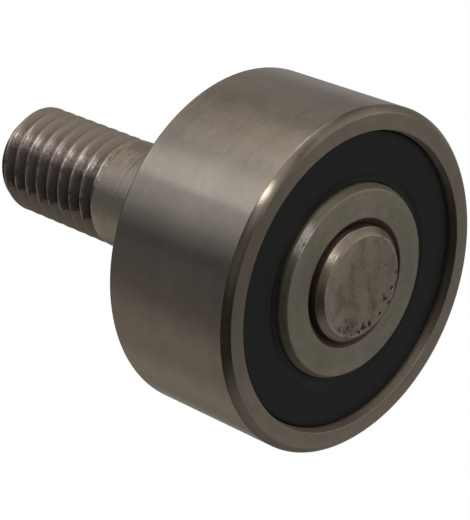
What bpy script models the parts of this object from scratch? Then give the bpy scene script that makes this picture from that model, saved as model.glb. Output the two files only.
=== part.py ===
"""Stud-type cam follower: a wide sealed ball bearing pressed onto a threaded stud.

The stud's axis is the world Y axis. The origin is on that axis, in the rear face of the stud's
collar, and +Y points along the stud to the tip of its thread. The roller is on the -Y side.
Every piece is modelled with its own axis along Z and hangs from an empty that turns Z into Y.
Dimensions are in millimetres; MM turns them into Blender's metres.
"""

import math

import bmesh
import bpy

MM = 0.001

# Bearing: bore, outside diameter, width and corner.
BORE_D = 10.0
OUTSIDE_D = 30.0
WIDTH = 14.0
CORNER = 0.6

# Ball set: eight 3/16 inch balls on the mean diameter.
BALL_COUNT = 8
BALL_D = 4.7625
PITCH_R = (BORE_D + OUTSIDE_D) / 4
RACE_CLEARANCE = 0.04
OUTER_CONFORMITY = 0.52
INNER_CONFORMITY = 0.515
RACE_STEPS = 10

# Ring lands and the groove that holds each seal, with depths below the ring's face.
FACE_BREAK = 0.12
OUTER_FACE_R = 13.0
OUTER_SHOULDER_R = 11.6
SHOULDER_BREAK = 0.2
SEAL_GROOVE_R = 13.34
SEAL_GROOVE_TOP = 1.0
SEAL_GROOVE_FOOT = 1.42
SEAL_STEP = 1.78
INNER_FACE_R = 8.05
INNER_BEVEL_DEPTH = 0.6
INNER_LAND_R = 8.4
INNER_LAND_DEPTH = 1.9
INNER_SHOULDER_R = 8.5

# Seal: moulded rubber and its steel insert, with depths below the ring's face.
LIP_GAP = 0.06
SEAL_DEPTH = 0.7
SEAL_BACK = 1.6
INSERT_TOP = 1.28
INSERT_INNER_R = 9.25
INSERT_OUTER_R = 12.6

# Cage: two pressed ribbons and one rivet between each two balls.
CAGE_SHEET = 0.4
CAGE_INNER_R = PITCH_R - 1.05
CAGE_OUTER_R = PITCH_R + 1.05
CAGE_SPLIT = 0.02
POCKET_R = BALL_D / 2 + 0.08
POCKET_EDGE = 2.1
POCKET_FOOT = 2.75
POCKET_COLUMNS = (0.0, 0.85, 1.6, POCKET_EDGE, POCKET_FOOT)
RIVET_R = 0.36
RIVET_HOLE_R = 0.4
RIVET_HEAD_R = 0.6
RIVET_HEAD_H = 0.3
RIVET_EDGE = 0.06

# Stud: journal, collar, plain shank and M10 x 1.5 right-hand thread.
FIT_GAP = 0.03
JOURNAL_R = BORE_D / 2
END_CHAMFER = 0.6
END_STANDS_OUT = 0.8
COLLAR_R = 7.0
COLLAR_T = 1.5
COLLAR_BREAK = 0.2
STUD_L = 25.0
SHANK_R = 4.98
THREAD_L = 13.0
THREAD_PITCH = 1.5
THREAD_CREST_R = 4.96
THREAD_ROOT_R = 4.08
THREAD_TIP_R = 4.0
THREAD_RUNOUT = 1.6
THREAD_CORNERS = (0.0, 1 / 8, 7 / 16, 11 / 16)
SHARP_EDGE = math.radians(30)

# Facets round each piece.
OUTER_SEGMENTS = 64
INNER_SEGMENTS = 48
SEAL_SEGMENTS = 40
STUD_SEGMENTS = 32
RIVET_SEGMENTS = 8
BALL_SUBDIVISIONS = 3

MERGE = 1e-6
REAR_FACE = -COLLAR_T - FIT_GAP
FRONT_FACE = REAR_FACE - WIDTH
MIDDLE = (REAR_FACE + FRONT_FACE) / 2
BALL_SECTOR = 2 * math.pi / BALL_COUNT


def clear_scene():
    for obj in list(bpy.data.objects):
        bpy.data.objects.remove(obj)


def new_collection(name):
    collection = bpy.data.collections.new(name)
    bpy.context.scene.collection.children.link(collection)
    return collection


def new_material(name, colour, roughness, metallic):
    material = bpy.data.materials.new(name)
    material.use_nodes = True
    shader = material.node_tree.nodes["Principled BSDF"]
    shader.inputs["Base Color"].default_value = (*colour, 1.0)
    shader.inputs["Roughness"].default_value = roughness
    shader.inputs["Metallic"].default_value = metallic
    return material


def mesh_from(made, name):
    mesh = bpy.data.meshes.new(name)
    made.to_mesh(mesh)
    made.free()
    return mesh


def profile_mesh(name, outline, closed=True):
    """A line of (radius, height) points for a Screw modifier to turn about Z.

    The line runs down its outer side, so that the turned faces point outwards.
    """
    doubled_area = sum(
        r0 * z1 - r1 * z0
        for (r0, z0), (r1, z1) in zip(outline, outline[1:] + outline[:1])
    )
    points = outline if doubled_area < 0 else outline[::-1]
    edges = [(i, i + 1) for i in range(len(points) - 1)]
    if closed:
        edges.append((len(points) - 1, 0))
    mesh = bpy.data.meshes.new(name)
    mesh.from_pydata([(r * MM, 0.0, z * MM) for r, z in points], edges, [])
    return mesh


def place(mesh, name, material, collection, axis, at=(0.0, 0.0, MIDDLE)):
    """Hangs a mesh from the follower's axis at a point given in millimetres."""
    obj = bpy.data.objects.new(name, mesh)
    if not mesh.materials:
        mesh.materials.append(material)
    collection.objects.link(obj)
    obj.parent = axis
    obj.location = [value * MM for value in at]
    return obj


def turn_profile(obj, segments):
    modifier = obj.modifiers.new("turned", "SCREW")
    modifier.axis = "Z"
    modifier.steps = segments
    modifier.render_steps = segments
    modifier.use_merge_vertices = True
    modifier.merge_threshold = MERGE
    modifier.use_smooth_shade = True


def pitch_point(turn):
    """Point on the pitch circle in the bearing's middle plane, this many sectors round."""
    angle = turn * BALL_SECTOR
    return (PITCH_R * math.cos(angle), PITCH_R * math.sin(angle), MIDDLE)


def race_arc(groove_r, radius, shoulder_r):
    """A raceway's groove from its rear shoulder to its front one, as (radius, height)."""
    side = 1 if groove_r > shoulder_r else -1
    centre_r = groove_r - side * radius
    widest = math.acos(abs(shoulder_r - centre_r) / radius)
    points = []
    for step in range(RACE_STEPS + 1):
        angle = widest * (1 - 2 * step / RACE_STEPS)
        r = centre_r + side * radius * math.cos(angle)
        points.append((r, radius * math.sin(angle)))
    return points


def at_end(outline, end):
    """(radius, depth) points as (radius, height), at the bearing's rear (1) or front (-1)."""
    return [(r, end * (WIDTH / 2 - depth)) for r, depth in outline]


def ring_side(half, race):
    """One side of a ring: half an outline, its race, and the half again for the other end."""
    return at_end(half, 1) + race + at_end(half[::-1], -1)


def outer_ring_outline():
    groove_r = PITCH_R + BALL_D / 2 + RACE_CLEARANCE
    race = race_arc(groove_r, BALL_D * OUTER_CONFORMITY, OUTER_SHOULDER_R)
    bore = [
        (OUTER_FACE_R + FACE_BREAK, 0.0),
        (OUTER_FACE_R, FACE_BREAK),
        (OUTER_FACE_R, SEAL_GROOVE_TOP - 0.05),
        (SEAL_GROOVE_R, SEAL_GROOVE_TOP + 0.02),
        (SEAL_GROOVE_R, SEAL_GROOVE_FOOT),
        (SEAL_GROOVE_R - 0.2, SEAL_STEP),
        (OUTER_SHOULDER_R + SHOULDER_BREAK, SEAL_STEP),
        (OUTER_SHOULDER_R, SEAL_STEP + SHOULDER_BREAK),
    ]
    outside_r = OUTSIDE_D / 2
    corner = [(outside_r, CORNER), (outside_r - CORNER, 0.0)]
    return ring_side(bore, race) + at_end(corner[::-1], -1) + at_end(corner, 1)


def inner_ring_outline():
    groove_r = PITCH_R - BALL_D / 2 - RACE_CLEARANCE
    race = race_arc(groove_r, BALL_D * INNER_CONFORMITY, INNER_SHOULDER_R)
    land = [
        (INNER_FACE_R, 0.0),
        (INNER_LAND_R, INNER_BEVEL_DEPTH),
        (INNER_LAND_R, INNER_LAND_DEPTH),
        (INNER_SHOULDER_R, INNER_LAND_DEPTH + SHOULDER_BREAK),
    ]
    bore_r = BORE_D / 2 + FIT_GAP
    corner = [(bore_r, CORNER), (bore_r + CORNER, 0.0)]
    return ring_side(land, race) + at_end(corner[::-1], -1) + at_end(corner, 1)


def seal_outline():
    """Moulded rubber of one seal: thin lip, flat face, bead in its groove, seat for the insert."""
    lip_r = INNER_LAND_R + LIP_GAP
    return [
        (lip_r, SEAL_DEPTH + 0.3),
        (lip_r + 0.12, SEAL_DEPTH + 0.18),
        (lip_r + 0.6, SEAL_DEPTH + 0.18),
        (lip_r + 0.9, SEAL_DEPTH),
        (OUTER_FACE_R - 0.7, SEAL_DEPTH),
        (OUTER_FACE_R - 0.25, SEAL_DEPTH + 0.1),
        (OUTER_FACE_R - 0.07, SEAL_DEPTH + 0.28),
        (OUTER_FACE_R - 0.07, SEAL_GROOVE_TOP + 0.06),
        (SEAL_GROOVE_R - 0.12, SEAL_GROOVE_TOP + 0.12),
        (SEAL_GROOVE_R - 0.07, SEAL_GROOVE_FOOT - 0.04),
        (OUTER_FACE_R + 0.1, SEAL_STEP - 0.1),
        (INSERT_OUTER_R, SEAL_STEP - 0.1),
        (INSERT_OUTER_R, INSERT_TOP),
        (INSERT_INNER_R, INSERT_TOP),
        (INSERT_INNER_R, SEAL_BACK),
        (lip_r + 0.4, SEAL_BACK),
        (lip_r, SEAL_DEPTH + 0.6),
    ]


def insert_outline():
    """Steel washer that stiffens one seal, seated in the rubber's inner side."""
    return [
        (INSERT_INNER_R + FIT_GAP, INSERT_TOP + FIT_GAP),
        (INSERT_OUTER_R - FIT_GAP, INSERT_TOP + FIT_GAP),
        (INSERT_OUTER_R - FIT_GAP, SEAL_BACK),
        (INSERT_INNER_R + FIT_GAP, SEAL_BACK),
    ]


def rivet_outline():
    grip = CAGE_SPLIT + CAGE_SHEET + 0.02
    top = grip + RIVET_HEAD_H
    upper = [
        (0.0, top),
        (RIVET_HEAD_R - 3 * RIVET_EDGE, top - RIVET_EDGE),
        (RIVET_HEAD_R, grip + RIVET_EDGE),
        (RIVET_HEAD_R - RIVET_EDGE, grip),
        (RIVET_R, grip),
    ]
    return upper + [(r, -z) for r, z in reversed(upper)]


def ribbon_height(across):
    """Height of the cage's ribbon over its split plane, this far across from a ball's centre."""
    if across <= POCKET_EDGE:
        return math.sqrt(POCKET_R**2 - across**2)
    edge = math.sqrt(POCKET_R**2 - POCKET_EDGE**2)
    fall = (across - POCKET_EDGE) / (POCKET_FOOT - POCKET_EDGE)
    return edge + fall * (CAGE_SPLIT - edge)


def ribbon_columns():
    """(angle, height) round the whole ribbon, with the same columns at each ball."""
    half = [(math.asin(x / PITCH_R), ribbon_height(x)) for x in POCKET_COLUMNS]
    before = [(-angle, height) for angle, height in reversed(half[1:])]
    between = [(BALL_SECTOR / 2, CAGE_SPLIT)]
    columns = []
    for ball in range(BALL_COUNT):
        for angle, height in before + half + between:
            columns.append((ball * BALL_SECTOR + angle, height))
    return columns


def cage_mesh(name, end):
    """One ribbon: a flat ring of faces spun about the axis, then pressed to its wave."""
    columns = ribbon_columns()
    made = bmesh.new()
    ends = [made.verts.new((r * MM, 0.0, 0.0)) for r in (CAGE_INNER_R, CAGE_OUTER_R)]
    line = made.edges.new(ends)
    bmesh.ops.spin(
        made,
        geom=[*ends, line],
        cent=(0.0, 0.0, 0.0),
        axis=(0.0, 0.0, 1.0),
        angle=2 * math.pi,
        steps=len(columns),
        use_merge=True,
    )
    step = 2 * math.pi / len(columns)
    for vertex in made.verts:
        r = math.hypot(vertex.co.x, vertex.co.y)
        column = round(math.atan2(vertex.co.y, vertex.co.x) / step) % len(columns)
        angle, height = columns[column]
        vertex.co = (r * math.cos(angle), r * math.sin(angle), end * height * MM)
    bmesh.ops.recalc_face_normals(made, faces=made.faces)
    if sum(face.normal.z for face in made.faces) * end < 0:
        bmesh.ops.reverse_faces(made, faces=made.faces)
    return mesh_from(made, name)


def press_cage(cage, cutters):
    """Gives the ribbon its sheet thickness and its rivet holes."""
    sheet = cage.modifiers.new("sheet", "SOLIDIFY")
    sheet.thickness = CAGE_SHEET * MM
    sheet.offset = 1.0
    sheet.use_even_offset = True
    for cutter in cutters:
        hole = cage.modifiers.new(cutter.name, "BOOLEAN")
        hole.operation = "DIFFERENCE"
        hole.object = cutter


def thread_radius(row, z):
    """Radius of a thread's row at height z, between its run-out and its end chamfer."""
    start = STUD_L - THREAD_L
    if z <= start:
        return SHANK_R
    radius = THREAD_CREST_R if row % len(THREAD_CORNERS) < 2 else THREAD_ROOT_R
    rise = max(0.0, 1 - (z - start) / THREAD_RUNOUT)
    radius = max(radius, THREAD_ROOT_R + rise * (SHANK_R - THREAD_ROOT_R))
    return min(radius, THREAD_TIP_R + STUD_L - z)


def thread_point(row, turn):
    """(radius, height) of a thread's row at this share of a turn."""
    corners = len(THREAD_CORNERS)
    lead = row // corners + THREAD_CORNERS[row % corners] + turn - 1
    start = STUD_L - THREAD_L
    z = min(max(start + lead * THREAD_PITCH, start), STUD_L)
    return thread_radius(row, z), z


def stud_mesh():
    """The stud as one grid wrapped round its axis: plain rows, then the thread's helical rows."""
    end = FRONT_FACE - END_STANDS_OUT
    plain = [
        (JOURNAL_R - END_CHAMFER, end),
        (JOURNAL_R, end + END_CHAMFER),
        (JOURNAL_R, -COLLAR_T),
        (COLLAR_R - COLLAR_BREAK, -COLLAR_T),
        (COLLAR_R, -COLLAR_T + COLLAR_BREAK),
        (COLLAR_R, -COLLAR_BREAK),
        (COLLAR_R - COLLAR_BREAK, 0.0),
        (SHANK_R, 0.0),
    ]
    turns = math.ceil(THREAD_L / THREAD_PITCH) + 2
    rows = len(plain) + turns * len(THREAD_CORNERS)
    made = bmesh.new()
    bmesh.ops.create_grid(made, x_segments=STUD_SEGMENTS, y_segments=rows - 1, size=1.0)
    for vertex in made.verts:
        turn = (vertex.co.x + 1) / 2
        row = round((vertex.co.y + 1) / 2 * (rows - 1))
        if row < len(plain):
            r, z = plain[row]
        else:
            r, z = thread_point(row - len(plain), turn)
        angle = 2 * math.pi * turn
        vertex.co = (r * math.cos(angle) * MM, r * math.sin(angle) * MM, z * MM)
    bmesh.ops.remove_doubles(made, verts=made.verts, dist=MERGE)
    open_edges = [edge for edge in made.edges if edge.is_boundary]
    bmesh.ops.holes_fill(made, edges=open_edges, sides=0)
    bmesh.ops.recalc_face_normals(made, faces=made.faces)
    mesh = mesh_from(made, "stud")
    mesh.shade_smooth()
    mesh.set_sharp_from_angle(angle=SHARP_EDGE)
    return mesh


def ball_mesh():
    made = bmesh.new()
    bmesh.ops.create_icosphere(
        made, subdivisions=BALL_SUBDIVISIONS, radius=BALL_D / 2 * MM
    )
    mesh = mesh_from(made, "ball")
    mesh.shade_smooth()
    return mesh


def rivet_hole_mesh():
    made = bmesh.new()
    bmesh.ops.create_cone(
        made,
        cap_ends=True,
        segments=RIVET_SEGMENTS,
        radius1=RIVET_HOLE_R * MM,
        radius2=RIVET_HOLE_R * MM,
        depth=4 * (CAGE_SHEET + CAGE_SPLIT) * MM,
    )
    return mesh_from(made, "rivet_hole")


def add_stud(follower, axis):
    steel = new_material("stud_steel", (0.36, 0.33, 0.3), 0.4, 1.0)
    place(stud_mesh(), "stud", steel, follower, axis, at=(0.0, 0.0, 0.0))


def add_rings(follower, axis):
    steel = new_material("ring_steel", (0.46, 0.42, 0.38), 0.3, 1.0)
    outer = profile_mesh("outer_ring", outer_ring_outline())
    turn_profile(place(outer, "outer_ring", steel, follower, axis), OUTER_SEGMENTS)
    inner = profile_mesh("inner_ring", inner_ring_outline())
    turn_profile(place(inner, "inner_ring", steel, follower, axis), INNER_SEGMENTS)


def add_seals(follower, axis):
    rubber = new_material("seal_rubber", (0.017, 0.017, 0.018), 0.5, 0.0)
    steel = new_material("insert_steel", (0.5, 0.48, 0.45), 0.35, 1.0)
    for side, end in (("front", -1), ("rear", 1)):
        pieces = (("seal_rubber", seal_outline(), rubber), ("seal_insert", insert_outline(), steel))
        for stem, outline, material in pieces:
            name = f"{stem}_{side}"
            mesh = profile_mesh(name, at_end(outline, end))
            turn_profile(place(mesh, name, material, follower, axis), SEAL_SEGMENTS)


def add_cage(follower, cutters, axis):
    steel = new_material("cage_steel", (0.5, 0.48, 0.45), 0.35, 1.0)
    rivet = profile_mesh("rivet", rivet_outline(), closed=False)
    hole = rivet_hole_mesh()
    holes = []
    for index in range(BALL_COUNT):
        number = index + 1
        at = pitch_point(index + 0.5)
        piece = place(rivet, f"cage_rivet_{number}", steel, follower, axis, at)
        turn_profile(piece, RIVET_SEGMENTS)
        cutter = place(hole, f"rivet_hole_{number}", steel, cutters, axis, at)
        cutter.hide_render = True
        cutter.display_type = "WIRE"
        holes.append(cutter)
    for side, end in (("front", -1), ("rear", 1)):
        name = f"cage_{side}"
        press_cage(place(cage_mesh(name, end), name, steel, follower, axis), holes)


def add_balls(follower, axis):
    steel = new_material("ball_steel", (0.62, 0.61, 0.6), 0.08, 1.0)
    ball = ball_mesh()
    for index in range(BALL_COUNT):
        place(ball, f"ball_{index + 1}", steel, follower, axis, pitch_point(index))


def main():
    clear_scene()
    follower = new_collection("cam_follower")
    cutters = new_collection("cutters")
    axis = bpy.data.objects.new("follower_axis", None)
    axis.rotation_euler = (-math.pi / 2, 0.0, 0.0)
    follower.objects.link(axis)
    add_stud(follower, axis)
    add_rings(follower, axis)
    add_seals(follower, axis)
    add_cage(follower, cutters, axis)
    add_balls(follower, axis)


main()
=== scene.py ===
"""Looks for the stud-type cam follower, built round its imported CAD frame.

Everything is in the row frame: the stud's axis is Y, its thread points to +Y and Z is up. Piece
dimensions are in millimetres, and MM turns them into Blender's metres. Every piece is a mesh of
its own, finer than the CAD solid it stands for, with its edges rounded.
"""

import math
from collections import namedtuple

import bmesh
import bpy
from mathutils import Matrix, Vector

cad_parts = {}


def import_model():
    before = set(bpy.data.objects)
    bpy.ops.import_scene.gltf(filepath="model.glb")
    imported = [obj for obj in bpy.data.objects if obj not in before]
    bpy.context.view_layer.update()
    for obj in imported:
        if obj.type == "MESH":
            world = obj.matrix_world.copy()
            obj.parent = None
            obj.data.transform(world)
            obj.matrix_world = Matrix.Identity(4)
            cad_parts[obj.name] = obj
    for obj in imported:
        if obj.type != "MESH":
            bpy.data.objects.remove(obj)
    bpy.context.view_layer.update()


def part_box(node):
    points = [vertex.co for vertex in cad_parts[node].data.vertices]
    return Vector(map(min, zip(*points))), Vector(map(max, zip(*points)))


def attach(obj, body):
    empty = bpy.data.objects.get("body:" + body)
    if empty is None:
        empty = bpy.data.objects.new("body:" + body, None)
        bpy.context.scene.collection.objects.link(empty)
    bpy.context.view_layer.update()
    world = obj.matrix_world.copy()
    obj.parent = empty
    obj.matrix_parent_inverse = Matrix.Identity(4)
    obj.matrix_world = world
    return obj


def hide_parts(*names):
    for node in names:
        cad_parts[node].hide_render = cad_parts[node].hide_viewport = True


MM = 0.001

# Rings. Depths are below a ring's face.
WIDTH = 14.0
OUTSIDE_R = 15.0
BORE_R = 5.03
CORNER = 0.6
CORNER_BULGE = 0.02
CORNER_END_ROUND = 0.11
FACE_R = 13.0
NECK_R = 12.88
GROOVE_R = 13.34
GROOVE_TOP = 1.0
GROOVE_FOOT = 1.42
SEAL_STEP = 1.78
OUTER_SHOULDER_R = 11.6
INNER_FACE_R = 8.05
INNER_BEVEL_DEPTH = 0.6
INNER_LAND_R = 8.4
INNER_LAND_DEPTH = 1.9
INNER_SHOULDER_R = 8.5
SHOULDER_BREAK = 0.2

# Balls, races and cage.
BALL_COUNT = 8
BALL_R = 2.38125
PITCH_R = 10.0
RACE_CLEARANCE = 0.04
RACE_RADIUS = 2.465
SECTOR = 2 * math.pi / BALL_COUNT
CAGE_SHEET = 0.4
CAGE_HALF_WIDTH = 1.05
CAGE_SPLIT = 0.02
POCKET_R = BALL_R + 0.08
POCKET_EDGE = 2.1
POCKET_FOOT = 2.9
RIVET_R = 0.36
RIVET_HOLE_R = 0.4
RIVET_HEAD_R = 0.6
RIVET_HEAD_H = 0.3

# Seals and their inserts.
LIP_GAP = 0.02
SEAL_DEPTH = 0.7
SEAL_BACK = 1.6
INSERT_TOP = 1.28
INSERT_INNER_R = 9.25
INSERT_OUTER_R = 12.6
FIT_GAP = 0.03

# Stud. Its ends come from the frame. THREAD_START is where its helix starts round the axis, in
# turns, and THREAD_L includes the run-out.
JOURNAL_R = 5.0
END_CHAMFER = 0.6
COLLAR_R = 7.0
COLLAR_T = 1.5
COLLAR_BREAK = 0.2
SHANK_R = 4.98
CREST_R = 4.96
ROOT_R = 4.3
THREAD_PITCH = 1.5
THREAD_L = 13.5
THREAD_TIP_R = 4.0
THREAD_RUNOUT = 1.0
THREAD_START = 17 / 32

# Facets round each piece, in each raceway and corner, and in the cage's ribbons.
SEGMENTS = 192
FINE_SEGMENTS = 256
RIVET_SEGMENTS = 32
HOLE_SEGMENTS = 24
RACE_STEPS = 24
CORNER_STEPS = 8
HEAD_STEPS = 6
CAGE_COLUMNS = 24 * BALL_COUNT
CAGE_ROWS = 8
BALL_SUBDIVISIONS = 5

# A corner rounded by more than WORN_CORNER shows wear, and a rounding takes up to MOST_OF_SIDE of
# the shorter side beside it. MERGE is in metres.
WORN_CORNER = 0.1
MOST_OF_SIDE = 0.45
SHARP = math.radians(32)
ON_AXIS = 1e-6
MERGE = 1e-7

# Colours in linear light. A pair runs from dark to light.
OUTER_TONES = ((0.395, 0.331, 0.266), (0.465, 0.391, 0.314))
INNER_TONES = ((0.385, 0.342, 0.268), (0.47, 0.418, 0.33))
# Painted shade in the inner ring's bore and bore chamfer, round the stud.
BORE_SHADE = (0.19, 0.14, 0.115)
# Near-white colour of the ring scratches, painted as glints.
SCRATCH_GLINT = (0.95, 0.88, 0.8)
STUD_TONES = ((0.37, 0.305, 0.237), (0.5, 0.415, 0.325))
STUD_WORN = (0.85, 0.74, 0.67)
# Painted shade on the stud's journal inside the inner ring's bore.
CREVICE_SHADE = (0.3, 0.215, 0.175)
END_POLISH = (0.6, 0.5, 0.4)
END_STAIN = (0.21, 0.155, 0.105)
END_BLOTCH = (0.15, 0.1, 0.085)
END_PIT = (0.04, 0.028, 0.022)
# Painted shade between the thread's crests on its oily side.
GROOVE_SHADE = (0.17, 0.13, 0.115)
# Painted highlight on the thread where the lamp's highlight falls.
THREAD_HIGHLIGHT = (0.54, 0.46, 0.415)
# Thread dust, dark to light; the light one is painted light from below, used toward the underside.
THREAD_DUST_AND_UNDERLIGHT = ((0.56, 0.47, 0.385), (0.95, 0.81, 0.68))
# Painted sheen on one side of the shank.
SHANK_SHEEN = (0.8, 0.68, 0.56)
RUBBER_TONES = ((0.01, 0.01, 0.0102), (0.0215, 0.0215, 0.0215))
SHEET_TONES = ((0.42, 0.4, 0.37), (0.58, 0.56, 0.52))
BALL_TONES = ((0.6, 0.59, 0.58), (0.68, 0.67, 0.66))
STAGE_WHITE = (0.86, 0.86, 0.86)

# Scratches on each ring's corner, painted bright as glints: direction and spread, in degrees
# from +X toward +Z.
OUTER_GLINTS = ((113, 5), (136, 5))
INNER_GLINTS = ((136, 13),)

# Camera, from its view of the follower: the middle of the roller's front face seen from the
# camera, as millimetres to the right, down and away.
CAMERA_AZIMUTH = math.radians(-44.98)
CAMERA_ELEVATION = math.radians(24.17)
FACE_FROM_CAMERA = (9.873, 1.921, 179.745)
CAMERA_LENS = 151.4

# Stage: a round floor, the wall it curves up into, and how high that stands.
FLOOR_R = 900.0
WALL_R = 1400.0
WALL_TOP = 1500.0
STAGE_SEGMENTS = 64
STAGE_STEPS = 12

# Soft lights of the room: where each comes from, half its width in degrees, and its strength. The
# last one is for views from the front.
SOFT_LIGHTS = (
    ((0.00, 0.10, 1.00), 45, 0.90),
    ((-0.37, 0.65, 0.67), 30, 0.36),
    ((-0.55, 0.65, 0.52), 27, 0.29),
    ((-0.25, -0.72, 0.65), 25, 0.35),
    ((0.20, -0.60, 0.78), 38, 0.10),
    ((0.64, -0.67, 0.36), 38, 0.33),
    ((0.64, -0.65, -0.40), 45, 0.17),
    ((0.40, 0.65, 0.65), 35, 0.20),
    ((0.75, 0.62, 0.25), 35, 0.12),
    ((0.70, 0.65, -0.25), 40, 0.22),
    ((0.97, -0.10, 0.20), 42, 0.19),
    ((0.75, -0.10, -0.65), 40, 0.09),
    ((0.25, 0.60, -0.75), 40, 0.13),
    ((-0.25, 0.65, -0.72), 35, 0.145),
    ((-0.67, 0.65, -0.36), 35, 0.11),
    ((-0.75, 0.62, 0.20), 22, 0.05),
    ((-0.58, -0.76, 0.30), 30, 0.08),
    ((0.05, -0.38, -0.90), 42, 0.135),
    ((0.05, -1.00, 0.00), 32, 0.24),
)
AMBIENT = 0.035

# A window with a sharp sill along the follower's axis: like a soft light, but lit only above it.
WINDOW = ((-0.46, 0.65, 0.61), 18, 0.37)
ABOVE_SILL = (0.731, 0.0, 0.682)
SILL_BLUR = 0.02

# Colour of the room's light, and tints of it: where from, half the width in degrees, and colour.
ROOM_COLOUR = (1.0, 0.99, 0.975)
TINTS = (
    ((-0.60, 0.65, 0.45), 50, (0.94, 0.99, 1.08)),
    ((0.10, 0.60, -0.78), 50, (1.05, 0.98, 0.89)),
)

# One lamp: where from, how far, its two sides, and how bright it looks.
LAMP_FROM = (-0.35, -0.63, 0.69)
LAMP_DISTANCE = 700
LAMP_SIZE = (150, 110)
LAMP_RADIANCE = 4.4

Place = namedtuple("Place", "coords radius height unit")


# ---------------------------------------------------------------- node helpers


def feed(tree, socket, value):
    """Links a socket into an input, or sets the input to a value."""
    if isinstance(value, bpy.types.NodeSocket):
        tree.links.new(value, socket)
    else:
        socket.default_value = value


def add_node(tree, kind, inputs=None, **settings):
    node = tree.nodes.new(kind)
    for key, value in settings.items():
        setattr(node, key, value)
    for key, value in (inputs or {}).items():
        feed(tree, node.inputs[key], value)
    return node


def maths(tree, operation, first, second=0.0):
    node = add_node(tree, "ShaderNodeMath", {0: first, 1: second}, operation=operation)
    return node.outputs[0]


def weighted(tree, *terms):
    """The sum of (socket, weight) terms."""
    total = 0.0
    for value, weight in terms:
        part = maths(tree, "MULTIPLY", value, weight)
        total = maths(tree, "ADD", part, total)
    return total


def product(tree, first, *others):
    for other in others:
        first = maths(tree, "MULTIPLY", first, other)
    return first


def vector(tree, x, y, z):
    return add_node(tree, "ShaderNodeCombineXYZ", {0: x, 1: y, 2: z}).outputs[0]


def split(tree, value):
    return add_node(tree, "ShaderNodeSeparateXYZ", {0: value}).outputs


def noise(tree, coords, scale, detail=3.0, roughness=0.55):
    inputs = {"Vector": coords, "Scale": scale, "Detail": detail, "Roughness": roughness}
    return add_node(tree, "ShaderNodeTexNoise", inputs).outputs["Fac"]


def remap(tree, value, low, high, to_low=0.0, to_high=1.0):
    """value from low..high to to_low..to_high, smoothly and clamped."""
    inputs = {"Value": value, 1: low, 2: high, 3: to_low, 4: to_high}
    node = add_node(tree, "ShaderNodeMapRange", inputs, interpolation_type="SMOOTHSTEP")
    return node.outputs["Result"]


def blend_colour(tree, factor, first, second):
    node = add_node(tree, "ShaderNodeMix", data_type="RGBA")
    feed(tree, node.inputs["Factor"], factor)
    for socket, value in ((node.inputs[6], first), (node.inputs[7], second)):
        feed(tree, socket, value if isinstance(value, bpy.types.NodeSocket) else (*value, 1.0))
    return node.outputs[2]


def bump(tree, height, distance, strength=1.0, normal=None):
    inputs = {"Height": height, "Distance": distance * MM, "Strength": strength}
    if normal is not None:
        inputs["Normal"] = normal
    return add_node(tree, "ShaderNodeBump", inputs).outputs["Normal"]


def new_material(name, metallic):
    material = bpy.data.materials.new(name)
    material.use_nodes = True
    shader = material.node_tree.nodes["Principled BSDF"]
    shader.inputs["Metallic"].default_value = metallic
    return material, material.node_tree, shader


def place_on_piece(tree):
    """Where a point is: coords in millimetres, radius, height along Y, unit direction outward.

    Object coordinates are the row frame on all pieces but balls and rivets.
    """
    coords = add_node(tree, "ShaderNodeTexCoord").outputs["Object"]
    scaled = add_node(tree, "ShaderNodeVectorMath", {0: coords}, operation="SCALE")
    scaled.inputs["Scale"].default_value = 1 / MM
    coords = scaled.outputs[0]
    x, y, z = split(tree, coords)
    flat = vector(tree, x, 0.0, z)
    radius = add_node(tree, "ShaderNodeVectorMath", {0: flat}, operation="LENGTH")
    unit = add_node(tree, "ShaderNodeVectorMath", {0: flat}, operation="NORMALIZE")
    return Place(coords, radius.outputs["Value"], y, unit.outputs[0])


def turned_streaks(tree, place, along, across, detail=3.0):
    """Noise drawn out round the axis, as a grinding wheel or a lathe tool leaves it."""
    x, _, z = split(tree, place.unit)
    step = weighted(tree, (place.height, 0.6), (place.radius, 1.0))
    coords = vector(tree, maths(tree, "MULTIPLY", x, along), maths(tree, "MULTIPLY", step, across),
                    maths(tree, "MULTIPLY", z, along))
    return noise(tree, coords, 1.0, detail)


def toward(tree, place, degrees, spread):
    """1 in one direction round the axis, from +X toward +Z, falling to 0 this many degrees off."""
    angle = math.radians(degrees)
    x, _, z = split(tree, place.unit)
    facing = weighted(tree, (x, math.cos(angle)), (z, math.sin(angle)))
    return remap(tree, facing, math.cos(math.radians(spread)), 1.0)


def edge_wear(tree):
    """How worn the mesh says an edge is, from 0 to 1."""
    return add_node(tree, "ShaderNodeAttribute", attribute_name="wear").outputs["Fac"]


def patchy_wear(tree, place, scale, low, high):
    """Edge wear, broken up by noise."""
    return product(tree, edge_wear(tree), remap(tree, noise(tree, place.coords, scale, 4.0), low, high))


def chamfers(tree):
    """1 on surfaces at a slant to the axis, 0 on those square to it or along it."""
    normal = add_node(tree, "ShaderNodeTexCoord").outputs["Normal"]
    lean = maths(tree, "ABSOLUTE", split(tree, normal)[1])
    return product(tree, remap(tree, lean, 0.2, 0.4), remap(tree, lean, 0.98, 0.9))


def brushed_round(tree, shader, anisotropy):
    """Gloss drawn out across the marks that run round the axis."""
    shader.inputs["Anisotropic"].default_value = anisotropy
    shader.inputs["Anisotropic Rotation"].default_value = 0.25
    tangent = add_node(tree, "ShaderNodeTangent", direction_type="RADIAL", axis="Y")
    feed(tree, shader.inputs["Tangent"], tangent.outputs[0])


# ------------------------------------------------------------------- materials


def smudge(tree, place, cloud, front, strength):
    """A dull smudge on one side of a ring's front face, which is at y = front."""
    on_face = remap(tree, place.height, front + 0.3, front + 0.1)
    patchy = remap(tree, cloud, 0.3, 0.55, 0.6 * strength, strength)
    return product(tree, on_face, toward(tree, place, 158, 50), patchy)


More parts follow.
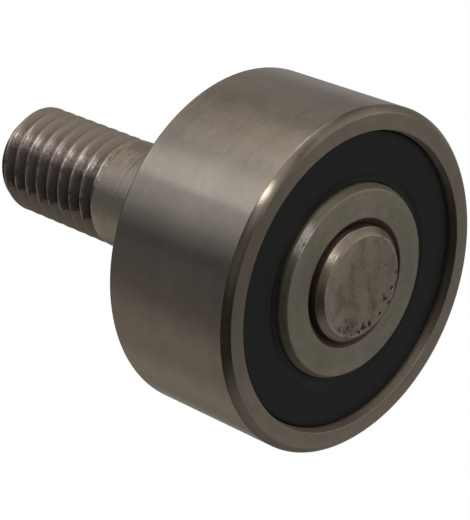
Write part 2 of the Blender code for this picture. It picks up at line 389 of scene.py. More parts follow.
def glinting_scratches(tree, place, streaks, glints, bevelled):
    """Scratches painted bright as glints on a ring's worn corner, and on its bevel where bevelled is 1.
    """
    slant = maths(tree, "MULTIPLY", chamfers(tree), bevelled)
    on_edge = maths(tree, "MAXIMUM", edge_wear(tree), slant)
    here = weighted(tree, *((toward(tree, place, *glint), 1.0) for glint in glints))
    return product(tree, here, on_edge, remap(tree, streaks, 0.42, 0.52))


def ground_steel(name, tones, roughness, streak_depth, shaded_bore_r, front, smudged, glints):
    """Ground ring steel: faint marks round the axis, cloudy tone, scratches painted bright as glints,
    and painted shade in the bore.

    The bore has painted shade inside shaded_bore_r. smudged is 1 on the ring whose face has the
    smudge and 0 on the ring whose bevel has the painted glints. glints are (direction, spread)
    places, in degrees.
    """
    material, tree, shader = new_material(name, 1.0)
    place = place_on_piece(tree)
    fine = turned_streaks(tree, place, 3.0, 5.0)
    broad = turned_streaks(tree, place, 0.8, 0.7, 2.0)
    cloud = noise(tree, place.coords, 0.3, 4.0)
    speck = noise(tree, place.coords, 9.0, 2.0)
    mottle = noise(tree, place.coords, 1.2, 4.0, 0.65)
    worn = maths(tree, "MULTIPLY", patchy_wear(tree, place, 0.9, 0.42, 0.6), 0.3)

    tone = weighted(tree, (fine, 0.15), (broad, 0.25), (cloud, 0.35), (mottle, 0.25))
    dark, light = tones
    shade = tuple(0.8 * channel for channel in dark)
    bright = tuple(1.35 * channel for channel in light)
    colour = blend_colour(tree, remap(tree, tone, 0.38, 0.62), dark, light)
    colour = blend_colour(tree, smudge(tree, place, cloud, front, smudged), colour, shade)
    colour = blend_colour(tree, worn, colour, bright)
    streaks = weighted(tree, (fine, 0.5), (mottle, 0.5))
    # Scratches painted near-white as glints.
    glint = glinting_scratches(tree, place, streaks, glints, 1 - smudged)
    colour = blend_colour(tree, glint, colour, SCRATCH_GLINT)
    # Painted shade in the bore and its chamfer, inside shaded_bore_r.
    painted_shade = remap(tree, place.radius, shaded_bore_r + 0.1, shaded_bore_r - 0.12)
    feed(tree, shader.inputs["Base Color"], blend_colour(tree, painted_shade, colour, BORE_SHADE))

    behind = remap(tree, place.height, front, front + 0.06)
    wall = product(tree, behind, remap(tree, place.radius, FACE_R + 0.3, FACE_R + 0.1))
    rough = remap(tree, weighted(tree, (fine, 0.4), (cloud, 0.6)), 0.3, 0.7, *roughness)
    rough = weighted(tree, (rough, 1.0), (worn, -0.05), (wall, 0.3))
    feed(tree, shader.inputs["Roughness"], rough)
    brushed_round(tree, shader, 0.6 + 0.2 * smudged)
    normal = bump(tree, fine, streak_depth, 0.4)
    normal = bump(tree, speck, 0.0003, 0.2, normal)
    dents = product(tree, worn, noise(tree, place.coords, 2.5, 2.0))
    feed(tree, shader.inputs["Normal"], bump(tree, dents, 0.02, 0.5, normal))
    return material


def stained_end(tree, place, grain, front, colour):
    """The stud's front end, polished on one side, with stains, a blotch and pits by its rim.

    Gives the new colour and the pits.
    """
    journal = front + END_CHAMFER
    nose = remap(tree, place.height, journal + 0.12, journal + 0.02)
    outer_part = remap(tree, place.radius, 1.5, 3.8)
    polished = product(tree, nose, toward(tree, place, 165, 110), outer_part, 0.7)
    colour = blend_colour(tree, polished, colour, END_POLISH)

    end = remap(tree, place.height, front + 0.12, front + 0.03)
    drawn_out = add_node(tree, "ShaderNodeVectorMath", {0: place.coords, 1: (1.1, 1.0, 0.45)},
                         operation="MULTIPLY").outputs[0]
    stains = product(tree, end, remap(tree, noise(tree, drawn_out, 0.9, 5.0, 0.65), 0.48, 0.68), 0.5)
    colour = blend_colour(tree, stains, colour, END_STAIN)
    blotch = product(tree, end, toward(tree, place, 245, 24), remap(tree, place.radius, 2.3, 3.4),
                     remap(tree, grain, 0.42, 0.56), 0.8)
    colour = blend_colour(tree, blotch, colour, END_BLOTCH)

    rim = product(tree, end, toward(tree, place, -45, 140), remap(tree, place.radius, 2.4, 3.8))
    pits = product(tree, rim, remap(tree, noise(tree, place.coords, 1.7, 1.5, 0.5), 0.575, 0.63))
    colour = blend_colour(tree, maths(tree, "MULTIPLY", pits, 0.9), colour, END_PIT)
    return colour, pits


def thread_dirt_and_light(tree, place, grain, cloud, thread_start, colour):
    """The stud's thread: oily with painted shade in its grooves on one side, dry and dusty round
    most of the rest, the dust painted lighter toward the underside.

    Gives the new colour, the dust, the painted shade between the crests and the painted highlight
    patch.
    """
    threaded = product(tree, remap(tree, place.height, thread_start - 0.1, thread_start + 0.1),
                       remap(tree, place.radius, THREAD_TIP_R, THREAD_TIP_R + 0.2))
    facing = weighted(tree, (toward(tree, place, 166, 58), 1.0), (toward(tree, place, 305, 90), 0.9),
                      (grain, 0.5), (cloud, 0.6))
    oily = remap(tree, facing, 1.27, 1.4)
    shiny = maths(tree, "MAXIMUM", oily, toward(tree, place, 138, 26))
    underside = maths(tree, "MULTIPLY", toward(tree, place, 330, 100), 0.85)
    clean = maths(tree, "MAXIMUM", shiny, underside)
    dust = product(tree, threaded, maths(tree, "SUBTRACT", 1.0, clean))

    # Painted shade between the crests on the oily side.
    between = remap(tree, place.radius, CREST_R - 0.01, CREST_R - 0.07)
    painted_shade = product(tree, threaded, oily, between, 0.8)
    colour = blend_colour(tree, painted_shade, colour, GROOVE_SHADE)
    # A patch painted lighter as a highlight, mottled by the grain.
    highlight_patch = product(tree, threaded, toward(tree, place, 136, 15), remap(tree, grain, 0.36, 0.52))
    colour = blend_colour(tree, highlight_patch, colour, THREAD_HIGHLIGHT)
    # Dust colour, painted lighter toward the underside as light from below.
    dust_and_underlight = blend_colour(tree, toward(tree, place, 225, 60), *THREAD_DUST_AND_UNDERLIGHT)
    colour = blend_colour(tree, maths(tree, "MULTIPLY", dust, 0.6), colour, dust_and_underlight)
    return colour, dust, painted_shade, highlight_patch


def stud_steel(front, thread_start):
    """Dark oily turned steel from y = front, with a stained end, painted sheen on one side of the
    shank, painted shade on the journal in the bore, and a dusty thread with painted light and shade.
    """
    material, tree, shader = new_material("stud_steel", 1.0)
    place = place_on_piece(tree)
    fine = turned_streaks(tree, place, 1.5, 7.0)
    cloud = noise(tree, place.coords, 0.55, 5.0, 0.6)
    grain = noise(tree, place.coords, 3.5, 4.0, 0.65)
    tone = weighted(tree, (fine, 0.15), (cloud, 0.5), (grain, 0.35))
    colour = blend_colour(tree, remap(tree, tone, 0.36, 0.64), *STUD_TONES)
    colour, pits = stained_end(tree, place, grain, front, colour)
    colour, dust, painted_shade, highlight_patch = thread_dirt_and_light(tree, place, grain, cloud, thread_start, colour)

    shank = product(tree, remap(tree, place.height, -COLLAR_T, 0.0),
                    remap(tree, place.height, thread_start, thread_start - 0.2))
    # Painted sheen on one side of the shank.
    shank_sheen = product(tree, shank, toward(tree, place, 178, 42), 0.7)
    colour = blend_colour(tree, shank_sheen, colour, SHANK_SHEEN)
    worn = product(tree, patchy_wear(tree, place, 1.4, 0.36, 0.56), maths(tree, "SUBTRACT", 1.0, dust),
                   remap(tree, place.height, front, front + 1.0, 0.5, 1.0))
    colour = blend_colour(tree, worn, colour, STUD_WORN)
    journal = front + END_CHAMFER
    # Painted shade on the journal, from behind the end chamfer to the collar.
    crevice_shade = product(tree, remap(tree, place.height, journal + 0.02, journal + 0.12),
                      remap(tree, place.height, -COLLAR_T + 0.1, -COLLAR_T - 0.1))
    feed(tree, shader.inputs["Base Color"], blend_colour(tree, crevice_shade, colour, CREVICE_SHADE))

    metal = weighted(tree, (dust, -0.6), (painted_shade, -0.75), (1.0, 1.0))
    feed(tree, shader.inputs["Metallic"], metal)
    rough = remap(tree, weighted(tree, (grain, 0.5), (cloud, 0.5)), 0.35, 0.65, 0.22, 0.38)
    rough = weighted(tree, (rough, 1.0), (worn, -0.06), (dust, 0.22), (crevice_shade, 0.2), (shank, 0.08),
                     (highlight_patch, 0.04))
    feed(tree, shader.inputs["Roughness"], rough)
    brushed_round(tree, shader, 0.5)
    end_face_r = JOURNAL_R - END_CHAMFER
    cone = remap(tree, place.radius, end_face_r, end_face_r + 0.1, 0.15, 1.0)
    cut = product(tree, turned_streaks(tree, place, 0.8, 4.2, 1.0), cone)
    normal = bump(tree, cut, 0.06, 0.9)
    normal = bump(tree, grain, 0.014, 0.6, normal)
    feed(tree, shader.inputs["Normal"], bump(tree, pits, -0.04, 1.0, normal))
    return material


def seal_rubber():
    """Moulded black rubber with a dusty bloom and faint mould rings."""
    material, tree, shader = new_material("seal_rubber", 0.0)
    place = place_on_piece(tree)
    dust = noise(tree, place.coords, 1.2, 5.0, 0.65)
    grain = noise(tree, place.coords, 14.0, 2.0)
    rings = turned_streaks(tree, place, 1.0, 5.0, 2.0)
    tone = remap(tree, weighted(tree, (dust, 0.7), (rings, 0.3)), 0.35, 0.7)
    feed(tree, shader.inputs["Base Color"], blend_colour(tree, tone, *RUBBER_TONES))
    feed(tree, shader.inputs["Roughness"], remap(tree, dust, 0.3, 0.7, 0.38, 0.58))
    shader.inputs["Specular IOR Level"].default_value = 0.4
    normal = bump(tree, grain, 0.006, 0.5)
    feed(tree, shader.inputs["Normal"], bump(tree, rings, 0.01, 0.4, normal))
    return material


def sheet_steel():
    """Pressed cold-rolled sheet: even, slightly cloudy, with fine grain."""
    material, tree, shader = new_material("sheet_steel", 1.0)
    place = place_on_piece(tree)
    cloud = noise(tree, place.coords, 0.9, 4.0)
    grain = noise(tree, place.coords, 11.0, 3.0)
    tone = remap(tree, cloud, 0.3, 0.7)
    feed(tree, shader.inputs["Base Color"], blend_colour(tree, tone, *SHEET_TONES))
    feed(tree, shader.inputs["Roughness"], remap(tree, grain, 0.3, 0.7, 0.28, 0.42))
    feed(tree, shader.inputs["Normal"], bump(tree, grain, 0.004, 0.5))
    return material


def ball_steel():
    """Lapped ball: near-mirror, with a faint haze and hairline marks."""
    material, tree, shader = new_material("ball_steel", 1.0)
    place = place_on_piece(tree)
    haze = noise(tree, place.coords, 1.5, 4.0)
    marks = noise(tree, place.coords, 18.0, 3.0, 0.7)
    tone = remap(tree, haze, 0.3, 0.7)
    feed(tree, shader.inputs["Base Color"], blend_colour(tree, tone, *BALL_TONES))
    rough = remap(tree, product(tree, marks, haze), 0.1, 0.5, 0.05, 0.14)
    feed(tree, shader.inputs["Roughness"], rough)
    feed(tree, shader.inputs["Normal"], bump(tree, marks, 0.0006, 0.3))
    return material


# --------------------------------------------------------------- mesh building


def rounded(outline, closed=True):
    """(radius, y, corner radius) points as (radius, y, wear) points with their corners rounded.

    wear is 1 in the middle of a well-rounded corner and 0 on the faces beside it.
    """
    points = []
    count = len(outline)
    for index, (r, y, corner) in enumerate(outline):
        is_end = not closed and index in (0, count - 1)
        here = Vector((r, y))
        if corner <= 0 or is_end:
            points.append((r, y, 0.0))
            continue
        before = Vector(outline[index - 1][:2]) - here
        after = Vector(outline[(index + 1) % count][:2]) - here
        half = before.angle(after) / 2
        shorter = min(before.length, after.length)
        reach = min(corner / math.tan(half), MOST_OF_SIDE * shorter)
        start = here + before.normalized() * reach
        finish = here + after.normalized() * reach
        for step in range(CORNER_STEPS + 1):
            t = step / CORNER_STEPS
            point = start * (1 - t) ** 2 + here * (2 * t * (1 - t)) + finish * t**2
            wear = math.sin(math.pi * t) ** 3 if corner > WORN_CORNER else 0.0
            points.append((point.x, point.y, wear))
    return points


def finished_mesh(made, name):
    """A smooth-shaded mesh with outward normals and its real edges sharp."""
    bmesh.ops.recalc_face_normals(made, faces=made.faces)
    mesh = bpy.data.meshes.new(name)
    made.to_mesh(mesh)
    made.free()
    mesh.shade_smooth()
    mesh.set_sharp_from_angle(angle=SHARP)
    return mesh


def turned_mesh(name, points, segments=SEGMENTS, closed=True):
    """(radius, y, wear) points turned about Y. An open outline starts and ends on the axis."""
    made = bmesh.new()
    wear_layer = made.verts.layers.float.new("wear")
    rings = []
    for r, y, wear in points:
        around = 1 if r < ON_AXIS else segments
        ring = []
        for step in range(around):
            angle = 2 * math.pi * step / segments
            point = Vector((r * math.cos(angle), y, r * math.sin(angle))) * MM
            vertex = made.verts.new(point)
            vertex[wear_layer] = wear
            ring.append(vertex)
        rings.append(ring)
    pairs = list(zip(rings, rings[1:]))
    if closed:
        pairs.append((rings[-1], rings[0]))
    for ring, below in pairs:
        for step in range(segments):
            ahead = (step + 1) % segments
            corners = [
                ring[step % len(ring)],
                ring[ahead % len(ring)],
                below[ahead % len(below)],
                below[step % len(below)],
            ]
            made.faces.new(list(dict.fromkeys(corners)))
    return finished_mesh(made, name)


def applied_mesh(mesh, modifiers):
    """A copy of a mesh with modifiers applied, from (kind, settings) pairs."""
    obj = bpy.data.objects.new(mesh.name, mesh)
    bpy.context.scene.collection.objects.link(obj)
    for kind, settings in modifiers:
        modifier = obj.modifiers.new(kind.lower(), kind)
        for key, value in settings.items():
            setattr(modifier, key, value)
    evaluated = obj.evaluated_get(bpy.context.evaluated_depsgraph_get())
    result = bpy.data.meshes.new_from_object(evaluated)
    bpy.data.objects.remove(obj)
    return result


def add_piece(name, mesh, material, body, node, location=(0.0, 0.0, 0.0)):
    """Puts a mesh in the scene in place of a CAD node, riding on that node's body."""
    obj = bpy.data.objects.new(name, mesh)
    if not mesh.materials:
        mesh.materials.append(material)
    bpy.context.scene.collection.objects.link(obj)
    obj.location = location
    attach(obj, body)
    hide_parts(node)


# ----------------------------------------------------------------------- rings


def from_face(outline, middle, end):
    """(radius, depth, corner) points as (radius, y, corner), at the front (-1) or rear (1)."""
    return [(r, middle + end * (WIDTH / 2 - depth), corner) for r, depth, corner in outline]


def race(middle, groove_r, shoulder_r):
    """A raceway's groove from its front shoulder to its rear one."""
    side = 1 if groove_r > shoulder_r else -1
    centre_r = groove_r - side * RACE_RADIUS
    widest = math.acos(abs(shoulder_r - centre_r) / RACE_RADIUS)
    points = []
    for step in range(RACE_STEPS + 1):
        angle = widest * (1 - 2 * step / RACE_STEPS)
        r = centre_r + side * RACE_RADIUS * math.cos(angle)
        points.append((r, middle - RACE_RADIUS * math.sin(angle), 0.0))
    return points


def bulged_corner(outer, inner):
    """A slightly convex chamfer between two (radius, depth) points, with its own ends rounded."""
    start, finish = Vector(outer), Vector(inner)
    outward = Vector((1.0, -1.0)) * CORNER_BULGE
    points = []
    for step in range(CORNER_STEPS + 1):
        t = step / CORNER_STEPS
        point = start.lerp(finish, t) + 4 * t * (1 - t) * outward
        rounding = CORNER_END_ROUND if step in (0, CORNER_STEPS) else 0.0
        points.append((point.x, point.y, rounding))
    return points


def ring_mesh(name, half, corner, groove_r, shoulder_r, middle, segments):
    """A whole ring from half of its grooved side, its plain corner and its raceway."""
    outline = (
        from_face(half, middle, -1)
        + race(middle, groove_r, shoulder_r)
        + from_face(half[::-1], middle, 1)
        + from_face(corner[::-1], middle, 1)
        + from_face(corner, middle, -1)
    )
    return turned_mesh(name, rounded(outline), segments)


def outer_ring_mesh(middle):
    bore = [
        (FACE_R + 0.03, 0.0, 0.08),
        (NECK_R, 0.6, 0.2),
        (NECK_R, GROOVE_TOP - 0.05, 0.0),
        (GROOVE_R, GROOVE_TOP + 0.02, 0.0),
        (GROOVE_R, GROOVE_FOOT, 0.0),
        (GROOVE_R - 0.2, SEAL_STEP, 0.0),
        (OUTER_SHOULDER_R + SHOULDER_BREAK, SEAL_STEP, 0.0),
        (OUTER_SHOULDER_R, SEAL_STEP + SHOULDER_BREAK, 0.05),
    ]
    corner = bulged_corner((OUTSIDE_R, CORNER), (OUTSIDE_R - CORNER, 0.0))
    groove_r = PITCH_R + BALL_R + RACE_CLEARANCE
    return ring_mesh("outer_ring", bore, corner, groove_r, OUTER_SHOULDER_R, middle, FINE_SEGMENTS)


def inner_ring_mesh(middle):
    land = [
        (INNER_FACE_R, 0.0, 0.25),
        (INNER_LAND_R, INNER_BEVEL_DEPTH, 0.15),
        (INNER_LAND_R, INNER_LAND_DEPTH, 0.1),
        (INNER_SHOULDER_R, INNER_LAND_DEPTH + SHOULDER_BREAK, 0.1),
    ]
    corner = [(BORE_R, CORNER, 0.06), (BORE_R + CORNER, 0.0, 0.06)]
    groove_r = PITCH_R - BALL_R - RACE_CLEARANCE
    return ring_mesh("inner_ring", land, corner, groove_r, INNER_SHOULDER_R, middle, SEGMENTS)


# ----------------------------------------------------------------------- seals


def seal_mesh(name, middle, end):
    """Moulded seal: a thin lip by the inner ring, a flat face, a bead in the outer ring's groove."""
    lip_r = INNER_LAND_R + LIP_GAP
    edge_r = NECK_R - 0.06
    outline = [
        (lip_r, SEAL_DEPTH + 0.2, 0.04),
        (lip_r + 0.1, SEAL_DEPTH + 0.1, 0.05),
        (lip_r + 0.5, SEAL_DEPTH + 0.14, 0.3),
        (lip_r + 0.95, SEAL_DEPTH, 0.5),
        (NECK_R - 0.5, SEAL_DEPTH, 0.4),
        (NECK_R - 0.15, SEAL_DEPTH + 0.06, 0.15),
        (edge_r, SEAL_DEPTH + 0.2, 0.08),
        (edge_r, GROOVE_TOP + 0.06, 0.02),
        (GROOVE_R - 0.12, GROOVE_TOP + 0.12, 0.04),
        (GROOVE_R - 0.07, GROOVE_FOOT - 0.04, 0.04),
        (FACE_R + 0.1, SEAL_STEP - 0.1, 0.04),
        (INSERT_OUTER_R, SEAL_STEP - 0.1, 0.0),
        (INSERT_OUTER_R, INSERT_TOP, 0.0),
        (INSERT_INNER_R, INSERT_TOP, 0.0),
        (INSERT_INNER_R, SEAL_BACK, 0.0),
        (lip_r + 0.4, SEAL_BACK, 0.1),
        (lip_r, SEAL_DEPTH + 0.6, 0.04),
    ]
    return turned_mesh(name, rounded(from_face(outline, middle, end)), FINE_SEGMENTS)


def insert_mesh(name, middle, end):
    """Steel washer in the seal's inner side."""
    inner_r, outer_r = INSERT_INNER_R + FIT_GAP, INSERT_OUTER_R - FIT_GAP
    top = INSERT_TOP + FIT_GAP
    outline = [
        (inner_r, top, 0.05),
        (outer_r, top, 0.05),
        (outer_r, SEAL_BACK, 0.05),
        (inner_r, SEAL_BACK, 0.05),
    ]
    return turned_mesh(name, rounded(from_face(outline, middle, end)))


# -------------------------------------------------------------- cage and balls


def pocket_height(distance):
    """Height of the cage's sheet over its split plane, this far from a ball's centre."""
    if distance <= POCKET_EDGE:
        return math.sqrt(POCKET_R**2 - distance**2)
    if distance >= POCKET_FOOT:
        return CAGE_SPLIT
    edge = math.sqrt(POCKET_R**2 - POCKET_EDGE**2)
    fall = (distance - POCKET_EDGE) / (POCKET_FOOT - POCKET_EDGE)
    ease = fall * (2 - fall)
    return edge + ease * (CAGE_SPLIT - edge)


def rivet_hole_cutter(middle):
    """Plugs on the pitch circle, each half-way between two balls."""
    made = bmesh.new()
    reach = 2 * (CAGE_SPLIT + CAGE_SHEET)
    for index in range(BALL_COUNT):
        spoke = -(index + 0.5) * SECTOR
        ends = []
        for y in (middle - reach, middle + reach):
            ring = []
            for step in range(HOLE_SEGMENTS):
                angle = 2 * math.pi * step / HOLE_SEGMENTS
                x = PITCH_R * math.cos(spoke) + RIVET_HOLE_R * math.cos(angle)
                z = PITCH_R * math.sin(spoke) + RIVET_HOLE_R * math.sin(angle)
                ring.append(made.verts.new(Vector((x, y, z)) * MM))
            ends.append(ring)
            made.faces.new(ring)
        for step in range(HOLE_SEGMENTS):
            ahead = (step + 1) % HOLE_SEGMENTS
            made.faces.new((ends[0][step], ends[0][ahead], ends[1][ahead], ends[1][step]))
    return finished_mesh(made, "rivet_holes")


def cage_mesh(name, middle, end, cutter):
    """One pressed ribbon with a spherical pocket over each ball and a hole for each rivet."""
    made = bmesh.new()
    grid = []
    for column in range(CAGE_COLUMNS):
        angle = 2 * math.pi * column / CAGE_COLUMNS
        off = (angle + SECTOR / 2) % SECTOR - SECTOR / 2
        line = []
        for row in range(CAGE_ROWS + 1):
            r = PITCH_R + CAGE_HALF_WIDTH * (2 * row / CAGE_ROWS - 1)
            distance = math.hypot(r * math.sin(off), r * math.cos(off) - PITCH_R)
            y = middle + end * pocket_height(distance)
            line.append(made.verts.new(Vector((r * math.cos(angle), y, r * math.sin(angle))) * MM))
        grid.append(line)
    for line, following in zip(grid, grid[1:] + grid[:1]):
        for row in range(CAGE_ROWS):
            corners = [line[row], line[row + 1], following[row + 1], following[row]]
            made.faces.new(corners if end > 0 else corners[::-1])
    sheet = bpy.data.meshes.new(name)
    made.to_mesh(sheet)
    made.free()
    thicken = {"thickness": CAGE_SHEET * MM, "offset": -1.0, "use_even_offset": True}
    holes = {"operation": "DIFFERENCE", "object": cutter}
    mesh = applied_mesh(sheet, (("SOLIDIFY", thicken), ("BOOLEAN", holes)))
    mesh.shade_smooth()
    mesh.set_sharp_from_angle(angle=SHARP)
    return mesh


def rivet_mesh():
    """A rivet with a low domed head at each end, about its own middle."""
    grip = CAGE_SPLIT + CAGE_SHEET + 0.02
    head = []
    for step in range(HEAD_STEPS + 1):
        angle = math.pi / 2 * step / HEAD_STEPS
        head.append((RIVET_HEAD_R * math.sin(angle), grip + RIVET_HEAD_H * math.cos(angle), 0.0))
    upper = head + [(RIVET_R, grip, 0.0)]
    lower = [(r, -y, wear) for r, y, wear in reversed(upper)]
    return turned_mesh("cage_rivet", upper + lower, RIVET_SEGMENTS, closed=False)


def ball_mesh():
    made = bmesh.new()
    bmesh.ops.create_icosphere(made, subdivisions=BALL_SUBDIVISIONS, radius=BALL_R * MM)
    return finished_mesh(made, "ball")


# ------------------------------------------------------------------------ stud


def thread_profile():
    """One pitch of the thread as (share of the pitch, height share, wear).

    The crest is flat with its edges eased off, the flanks belly out a little and the root is flat.
    """
    crest = 1 / 8
    ease = 0.03
    shoulder = 0.95
    flank = 0.34
    belly = 0.08
    steps = 6
    profile = [(0.0, shoulder, 0.8), (ease, 1.0, 1.0), (crest - ease, 1.0, 1.0), (crest, shoulder, 0.8)]
    for step in range(1, steps + 1):
        down = step / steps
        height = shoulder * (1 - down) + belly * math.sin(math.pi * down)
        profile.append((crest + flank * down, height, 0.3 * (1 - down) ** 4))
    mirrored = [(1 + crest - share, height, wear) for share, height, wear in profile[4:]]
    return profile + mirrored[::-1]


def thread_radius(z, share, start, end):
    """Radius of the thread at height z, between its run-out and its end chamfer."""
    if z <= start:
        return SHANK_R
    rise = max(0.0, 1 - (z - start) / THREAD_RUNOUT)
    rise = rise * rise * (3 - 2 * rise)
    radius = ROOT_R + share * (CREST_R - ROOT_R)
    radius = max(radius, ROOT_R + rise * (SHANK_R - ROOT_R))
    return min(radius, THREAD_TIP_R + end - z)


def stud_rows(front, start):
    """The stud's rows, as (radius, y, wear, height share).

    The height share is None on a plain row. On a thread row y counts turns and the radius is 0.
    """
    face_r = JOURNAL_R - END_CHAMFER
    plain = rounded(
        [
            (0.0, front, 0.0),
            (face_r, front, 0.42),
            (JOURNAL_R, front + END_CHAMFER, 0.1),
            (JOURNAL_R, -COLLAR_T, 0.0),
            (COLLAR_R - COLLAR_BREAK, -COLLAR_T, 0.05),
            (COLLAR_R, COLLAR_BREAK - COLLAR_T, 0.05),
            (COLLAR_R, -COLLAR_BREAK, 0.05),
            (COLLAR_R - COLLAR_BREAK, 0.0, 0.05),
            (SHANK_R, 0.0, 0.0),
            (SHANK_R, start - 0.5, 0.0),
        ],
        closed=False,
    )
    rows = [(r, y, wear, None) for r, y, wear in plain[1:]]
    for turn in range(-1, math.ceil(THREAD_L / THREAD_PITCH) + 1):
        rows += [(0.0, turn + share, wear, height) for share, height, wear in thread_profile()]
    return rows


def stud_mesh(front, end):
    """The stud: plain rows from its front end to its shank, then the thread's helical rows."""
    start = end - THREAD_L
    made = bmesh.new()
    wear_layer = made.verts.layers.float.new("wear")
    grid = []
    for r, y, wear, height in stud_rows(front, start):
        ring = []
        for step in range(FINE_SEGMENTS + 1):
            around = step / FINE_SEGMENTS
            radius, z = r, y
            if height is not None:
                z = min(max(start + (y + around) * THREAD_PITCH, start), end)
                radius = thread_radius(z, height, start, end)
            angle = -2 * math.pi * (around + THREAD_START)
            point = Vector((radius * math.cos(angle), z, radius * math.sin(angle))) * MM
            vertex = made.verts.new(point)
            vertex[wear_layer] = wear
            ring.append(vertex)
        grid.append(ring)
    for ring, below in zip(grid, grid[1:]):
        for step in range(FINE_SEGMENTS):
            made.faces.new((ring[step], ring[step + 1], below[step + 1], below[step]))
    bmesh.ops.remove_doubles(made, verts=made.verts, dist=MERGE)
    bmesh.ops.dissolve_degenerate(made, edges=made.edges, dist=MERGE)
    open_edges = [edge for edge in made.edges if edge.is_boundary]
    bmesh.ops.holes_fill(made, edges=open_edges, sides=0)
    return finished_mesh(made, "stud")


# --------------------------------------------------------------------- studio


def stage_mesh(bottom):
    """A flat round floor at z = bottom that curves up into a wall."""
    reach = WALL_R - FLOOR_R
    curve = []
    for step in range(STAGE_STEPS + 1):
        angle = math.pi / 2 * step / STAGE_STEPS
        curve.append((FLOOR_R + reach * math.sin(angle), bottom + reach * (1 - math.cos(angle))))
    curve.append((WALL_R, bottom + WALL_TOP))
    made = bmesh.new()
    rings = []
    for r, z in curve:
        ring = []
        for step in range(STAGE_SEGMENTS):
            angle = 2 * math.pi * step / STAGE_SEGMENTS
            ring.append(made.verts.new(Vector((r * math.cos(angle), r * math.sin(angle), z)) * MM))
        rings.append(ring)
    made.faces.new(rings[0])
    for ring, above in zip(rings, rings[1:]):
        for step in range(STAGE_SEGMENTS):
            ahead = (step + 1) % STAGE_SEGMENTS
            made.faces.new((ring[step], ring[ahead], above[ahead], above[step]))
    mesh = bpy.data.meshes.new("stage_floor")
    made.to_mesh(mesh)
    made.free()
    mesh.shade_smooth()
    return mesh


def add_stage(bottom):
    """The pale bowl round the follower. Only the camera sees it, so it throws no light on it."""
    material, _, shader = new_material("studio_white", 0.0)
    shader.inputs["Base Color"].default_value = (*STAGE_WHITE, 1.0)
    shader.inputs["Roughness"].default_value = 0.9
    shader.inputs["Specular IOR Level"].default_value = 0.0
    shader.inputs["Emission Color"].default_value = (1.0, 1.0, 1.0, 1.0)
    shader.inputs["Emission Strength"].default_value = 1.0
    mesh = stage_mesh(bottom)
    mesh.materials.append(material)
    bowl = bpy.data.objects.new("stage_floor", mesh)
    bpy.context.scene.collection.objects.link(bowl)
    bowl.visible_glossy = False
    bowl.visible_diffuse = False
    bowl.visible_shadow = False


def lobe(tree, coords, direction, width, strength):
    """strength in one direction of the room, falling smoothly to 0 this many degrees off."""
    centre = Vector(direction).normalized()
    node = add_node(tree, "ShaderNodeVectorMath", {0: coords, 1: centre}, operation="DOT_PRODUCT")
    edge = math.cos(math.radians(width))
    return remap(tree, node.outputs["Value"], edge, 1.0, 0.0, strength)


def room_light():
    """The room as the steel sees it: soft lights all round and a window with a sharp sill."""
    world = bpy.data.worlds.new("soft_room")
    bpy.context.scene.world = world
    world.use_nodes = True
    tree = world.node_tree
    coords = add_node(tree, "ShaderNodeTexCoord").outputs["Generated"]
    room = AMBIENT
    for direction, width, strength in SOFT_LIGHTS:
        room = maths(tree, "ADD", lobe(tree, coords, direction, width, strength), room)
    height = add_node(tree, "ShaderNodeVectorMath", {0: coords, 1: ABOVE_SILL}, operation="DOT_PRODUCT")
    lit = remap(tree, height.outputs["Value"], 0.0, SILL_BLUR)
    room = maths(tree, "ADD", product(tree, lobe(tree, coords, *WINDOW), lit), room)
    colour = ROOM_COLOUR
    for direction, width, tint in TINTS:
        colour = blend_colour(tree, lobe(tree, coords, direction, width, 1.0), colour, tint)
    background = tree.nodes["Background"]
    feed(tree, background.inputs["Color"], colour)
    feed(tree, background.inputs["Strength"], room)


def softbox(name, direction, distance, size, radiance):
    """A rectangular area light facing the follower from one direction."""
    light = bpy.data.lights.new(name, "AREA")
    light.shape = "RECTANGLE"
    light.size = size[0] * MM
    light.size_y = size[1] * MM
    light.energy = radiance * math.pi * light.size * light.size_y
    obj = bpy.data.objects.new(name, light)
    bpy.context.scene.collection.objects.link(obj)
    away = Vector(direction).normalized()
    obj.location = away * distance * MM
    obj.rotation_euler = away.to_track_quat("Z", "Y").to_euler()


def add_camera(face_y):
    """The camera, placed by how it sees the middle of the roller's front face."""
    azimuth, elevation = CAMERA_AZIMUTH, CAMERA_ELEVATION
    right = Vector((math.cos(azimuth), math.sin(azimuth), 0.0))
    back = Vector((
        math.sin(azimuth) * math.cos(elevation),
        -math.cos(azimuth) * math.cos(elevation),
        math.sin(elevation),
    ))
    up = back.cross(right)
    to_right, down, away = FACE_FROM_CAMERA
    spot = Vector((0.0, face_y, 0.0)) - to_right * right + down * up + away * back
    data = bpy.data.cameras.new("camera")
    data.lens = CAMERA_LENS
    data.clip_start = 0.005
    data.clip_end = 20.0
    camera = bpy.data.objects.new("camera", data)
    camera.location = spot * MM
    camera.rotation_euler = back.to_track_quat("Z", "Y").to_euler()
    bpy.context.scene.collection.objects.link(camera)
    bpy.context.scene.camera = camera


# ------------------------------------------------------------------------ main


def add_rings(middle):
    front = middle - WIDTH / 2
    steel = ground_steel("outer_steel", OUTER_TONES, roughness=(0.18, 0.24), streak_depth=0.0006,
                         shaded_bore_r=BORE_R, front=front, smudged=1.0, glints=OUTER_GLINTS)
    mesh = outer_ring_mesh(middle)
    add_piece("outer_ring_turned", mesh, steel, "roller_body", "outer_ring")
    steel = ground_steel("inner_steel", INNER_TONES, roughness=(0.26, 0.36), streak_depth=0.002,
                         shaded_bore_r=BORE_R + CORNER, front=front, smudged=0.0, glints=INNER_GLINTS)
    mesh = inner_ring_mesh(middle)
    add_piece("inner_ring_turned", mesh, steel, "stud_body", "inner_ring")


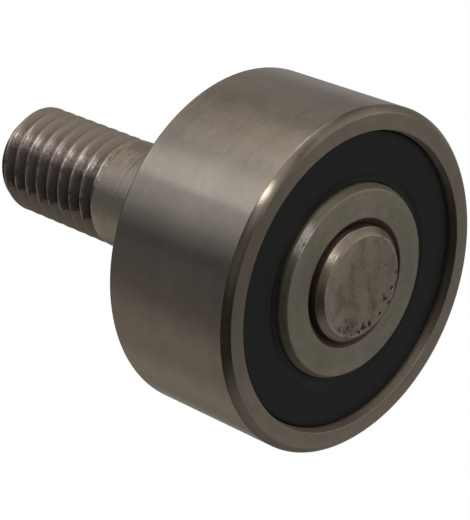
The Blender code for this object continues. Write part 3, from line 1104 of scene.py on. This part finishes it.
def add_seals(middle, sheet):
    rubber = seal_rubber()
    for side, end in (("front", -1), ("rear", 1)):
        mesh = seal_mesh(f"seal_{side}", middle, end)
        node = f"seal_rubber_{side}"
        add_piece(f"seal_{side}_moulded", mesh, rubber, "roller_body", node)
        mesh = insert_mesh(f"insert_{side}", middle, end)
        node = f"seal_insert_{side}"
        add_piece(f"insert_{side}_pressed", mesh, sheet, "roller_body", node)


def add_cage(middle, sheet):
    cutter = bpy.data.objects.new("rivet_holes", rivet_hole_cutter(middle))
    bpy.context.scene.collection.objects.link(cutter)
    for side, end in (("front", -1), ("rear", 1)):
        node = f"cage_{side}"
        mesh = cage_mesh(node, middle, end, cutter)
        add_piece(f"{node}_pressed", mesh, sheet, "cage_body", node)
    bpy.data.objects.remove(cutter)
    rivet = rivet_mesh()
    for index in range(BALL_COUNT):
        node = f"cage_rivet_{index + 1}"
        low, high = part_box(node)
        at = (low + high) / 2
        add_piece(f"{node}_headed", rivet, sheet, "cage_body", node, at)


def add_balls():
    ball, steel = ball_mesh(), ball_steel()
    for index in range(BALL_COUNT):
        node = f"ball_{index + 1}"
        low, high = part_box(node)
        at = (low + high) / 2
        add_piece(f"{node}_lapped", ball, steel, f"{node}_body", node, at)


def main():
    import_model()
    ring_low, ring_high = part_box("outer_ring")
    stud_low, stud_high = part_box("stud")
    front_face = ring_low.y / MM
    middle = (ring_low.y + ring_high.y) / 2 / MM
    stud_front, stud_end = stud_low.y / MM, stud_high.y / MM

    sheet = sheet_steel()
    add_rings(middle)
    add_seals(middle, sheet)
    add_cage(middle, sheet)
    add_balls()
    stud = stud_mesh(stud_front, stud_end)
    steel = stud_steel(stud_front, stud_end - THREAD_L)
    add_piece("stud_turned", stud, steel, "stud_body", "stud")

    add_stage(ring_low.z / MM)
    room_light()
    softbox("front_lamp", LAMP_FROM, LAMP_DISTANCE, LAMP_SIZE, LAMP_RADIANCE)
    bpy.context.scene.view_settings.view_transform = "Standard"
    add_camera(front_face)


main()
